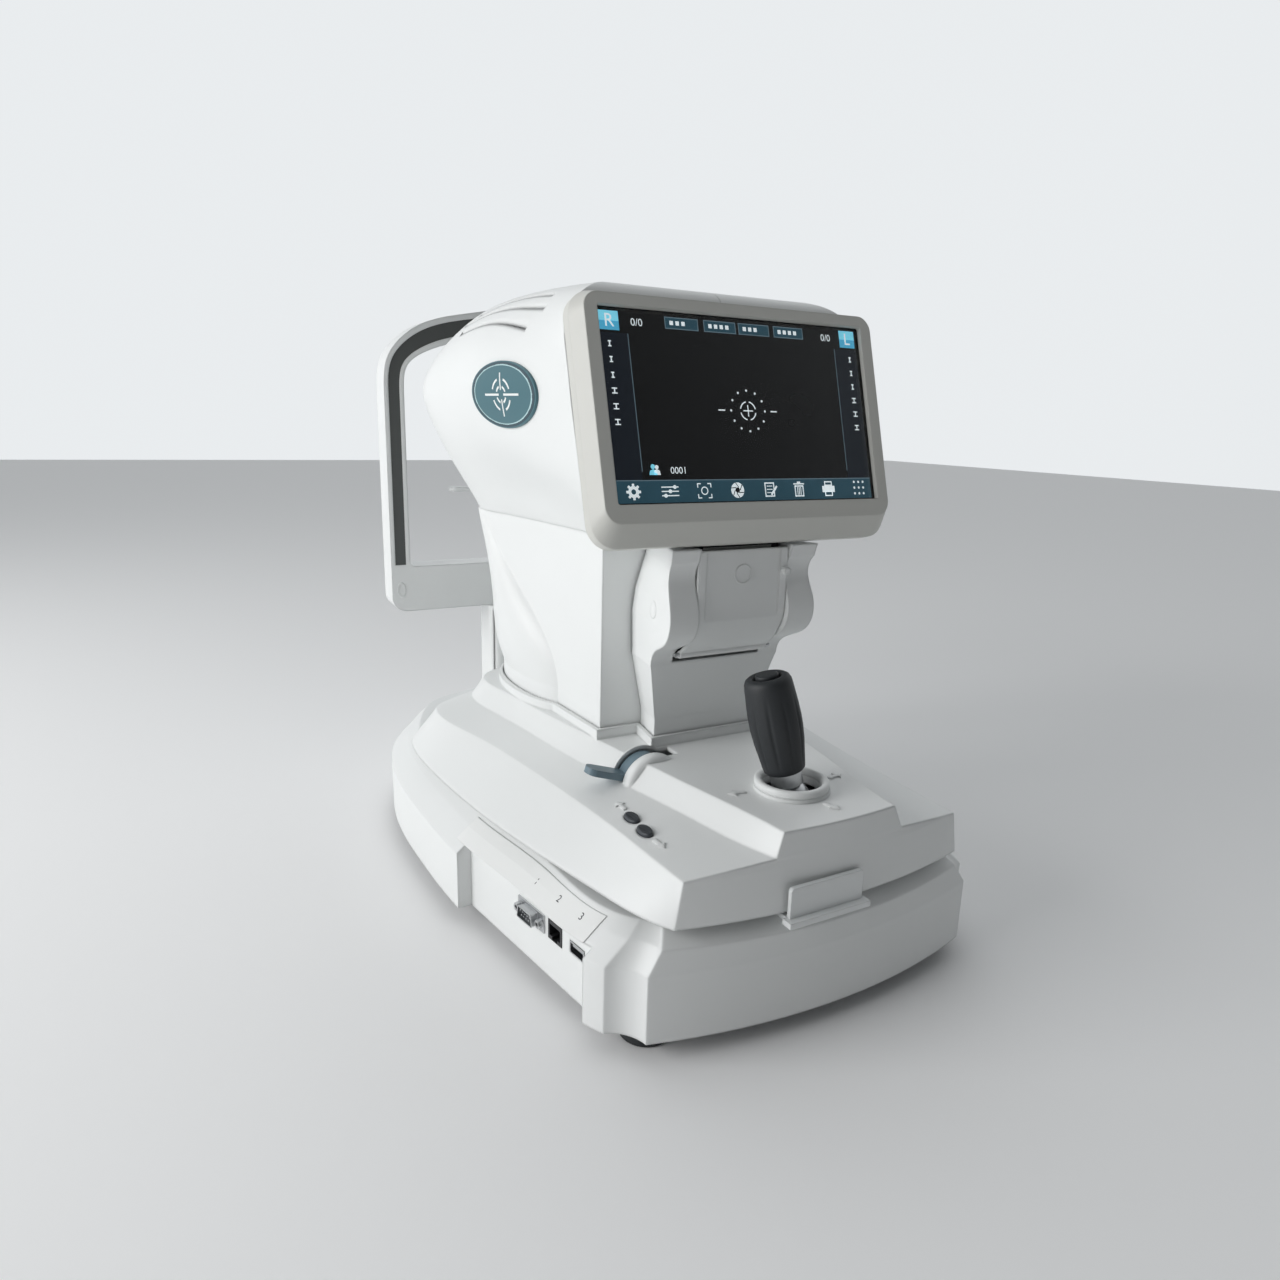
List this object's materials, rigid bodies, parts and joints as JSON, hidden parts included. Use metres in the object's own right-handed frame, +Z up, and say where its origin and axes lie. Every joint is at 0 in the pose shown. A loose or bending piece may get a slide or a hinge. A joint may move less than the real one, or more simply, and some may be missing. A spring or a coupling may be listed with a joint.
{
  "type": "autorefractor",
  "caption": "Table-top eye-measuring instrument: tilted screen on a lifting head with printer, joystick stage, and an arched face frame with chin rest on a wide base.",
  "frame": {"origin": "on the table under the middle of the machine's length and width, at the bottom of the feet", "axes": "+Z up, +Y towards the patient (the operator sits on the -Y side), +X to the operator's right"},
  "size_m": [0.3592, 0.53, 0.4495],
  "materials": {
    "white_casing": "white moulded plastic with a fine satin texture",
    "grey_bezel": "warm pale grey moulded plastic",
    "strip_grey": "dark grey textured strip",
    "slate_plastic": "slate blue plastic, lightly worn",
    "dark_button": "dark grey ribbed keys",
    "black_rubber": "black moulded rubber, matt",
    "port_black": "black connector plastic",
    "steel": "ground steel",
    "zinc": "machined light alloy",
    "brass": "turned brass",
    "board_green": "lacquered circuit board",
    "screen_glass": "clear cover glass",
    "lens_glass": "coated objective glass",
    "screen_image": "lit display, mostly black",
    "badge_teal": "teal plate with a pale ring",
    "label_white": "white printed label",
    "pad_rubber": "soft grey silicone pad",
    "paper": "thermal paper",
    "clip_white": "translucent white plastic"
  },
  "bodies": {
    "base": {"base_housing": "white_casing", "bottom_plate": "steel", "feet": "black_rubber", "label_plate": "label_white", "serial_port": "steel", "network_port": "port_black", "usb_port": "steel", "power_entry": "port_black", "power_supply": "steel", "main_board": "board_green", "depth_rods": "steel", "rod_blocks": "zinc", "face_frame": "white_casing", "frame_inlay": "strip_grey", "forehead_pad": "pad_rubber", "face_column": "white_casing"},
    "switch": {"power_rocker": "port_black"},
    "carriage": {"cross_carriage": "zinc"},
    "stage": {"cross_rods": "steel", "stage_plate": "steel", "stage_cover": "white_casing", "lever_bracket": "steel", "joystick_socket": "port_black", "joystick_ring": "white_casing", "lift_shafts": "steel", "lift_motor": "port_black", "lift_belt": "black_rubber"},
    "lever": {"lock_lever": "slate_plastic"},
    "chin_up": {"chin_up_button": "dark_button"},
    "chin_down": {"chin_down_button": "dark_button"},
    "screw": {"lift_screw": "steel"},
    "head": {"lift_plate": "zinc", "lift_nut": "brass", "head_cover_left": "white_casing", "head_cover_right": "white_casing", "screen_bezel": "grey_bezel", "touch_glass": "screen_glass", "lcd_panel": "screen_image", "display_board": "board_green", "badges": "badge_teal", "printer_surround": "white_casing", "printer_frame": "port_black", "door_hinge_pin": "steel", "optical_bench": "zinc", "optics_block": "zinc", "lens_barrel": "port_black", "objective_lens": "lens_glass", "window_bezel": "strip_grey"},
    "gimbal": {"joystick_gimbal": "zinc"},
    "stick": {"joystick_stem": "steel"},
    "grip": {"joystick_grip": "black_rubber"},
    "measure_button": {"joystick_button": "black_rubber"},
    "door": {"printer_door": "white_casing", "door_latch": "white_casing"},
    "platen": {"platen_roller": "black_rubber"},
    "roll": {"paper_roll": "paper"},
    "chin": {"chin_rest": "white_casing", "chin_post": "steel"},
    "chin_drive": {"chin_screw": "steel"},
    "clip": {"transport_clip": "clip_white"}
  },
  "joints": [
    {"name": "power_switch", "type": "hinge", "parent": "base", "child": "switch", "pos_m": [-0.024, 0.2602, 0.0414], "axis": [0, 0, -1], "range_deg": [0, 16]},
    {"name": "depth_travel", "type": "slide", "parent": "base", "child": "carriage", "axis": [0, 1, 0], "range_m": [-0.02, 0.02]},
    {"name": "cross_travel", "type": "slide", "parent": "carriage", "child": "stage", "axis": [1, 0, 0], "range_m": [-0.043, 0.043]},
    {"name": "lock", "type": "hinge", "parent": "stage", "child": "lever", "pos_m": [-0.056, -0.115, 0.1109], "axis": [0, 1, 0], "range_deg": [0, 60]},
    {"name": "chin_up_press", "type": "slide", "parent": "stage", "child": "chin_up", "axis": [0.1392, 0, -0.9903], "range_m": [0, 0.0012], "stiffness_N_per_m": 1500, "springref_m": -0.0005},
    {"name": "chin_down_press", "type": "slide", "parent": "stage", "child": "chin_down", "axis": [0.1392, 0, -0.9903], "range_m": [0, 0.0012], "stiffness_N_per_m": 1500, "springref_m": -0.0005},
    {"name": "lift", "type": "slide", "parent": "stage", "child": "head", "axis": [0, 0, 1], "range_m": [-0.013, 0.014]},
    {"name": "lift_drive", "type": "hinge", "parent": "stage", "child": "screw", "pos_m": [0, 0.015, 0.1594], "axis": [0, 0, 1], "continuous": true},
    {"name": "stick_fore_aft", "type": "hinge", "parent": "stage", "child": "gimbal", "pos_m": [0, -0.203, 0.1214], "axis": [1, 0, 0], "range_deg": [-8.3, 17]},
    {"name": "stick_sideways", "type": "hinge", "parent": "gimbal", "child": "stick", "pos_m": [0, -0.203, 0.1214], "axis": [0, 0.9932, -0.1167], "range_deg": [-2.8, 27.2]},
    {"name": "height_twist", "type": "hinge", "parent": "stick", "child": "grip", "pos_m": [0, -0.203, 0.1214], "axis": [-0.2113, 0.114, 0.9707], "continuous": true},
    {"name": "measure_press", "type": "slide", "parent": "grip", "child": "measure_button", "axis": [0.2113, -0.114, -0.9707], "range_m": [0, 0.002], "stiffness_N_per_m": 800, "springref_m": -0.0005},
    {"name": "door", "type": "hinge", "parent": "head", "child": "door", "pos_m": [0, -0.119, 0.1984], "axis": [1, 0, 0], "range_deg": [0, 50]},
    {"name": "platen_turn", "type": "hinge", "parent": "door", "child": "platen", "pos_m": [0, -0.1316, 0.2649], "axis": [1, 0, 0], "continuous": true},
    {"name": "roll_turn", "type": "hinge", "parent": "head", "child": "roll", "pos_m": [0, -0.1, 0.2314], "axis": [1, 0, 0], "continuous": true},
    {"name": "chin_height", "type": "slide", "parent": "base", "child": "chin", "axis": [0, 0, 1], "range_m": [-0.03, 0.03]},
    {"name": "chin_drive", "type": "hinge", "parent": "base", "child": "chin_drive", "pos_m": [0, 0.242, 0.1594], "axis": [0, 0, 1], "continuous": true},
    {"name": "clip_pull", "type": "slide", "parent": "stage", "child": "clip", "axis": [0, -1, 0], "range_m": [0, 0.04]}
  ],
  "couplings": [
    {"joint": "lift_drive", "follows": "lift", "rad_per_m": 3141.6},
    {"joint": "height_twist", "follows": "lift", "rad_per_m": 349.07},
    {"joint": "chin_drive", "follows": "chin_height", "rad_per_m": 3141.6}
  ]
}
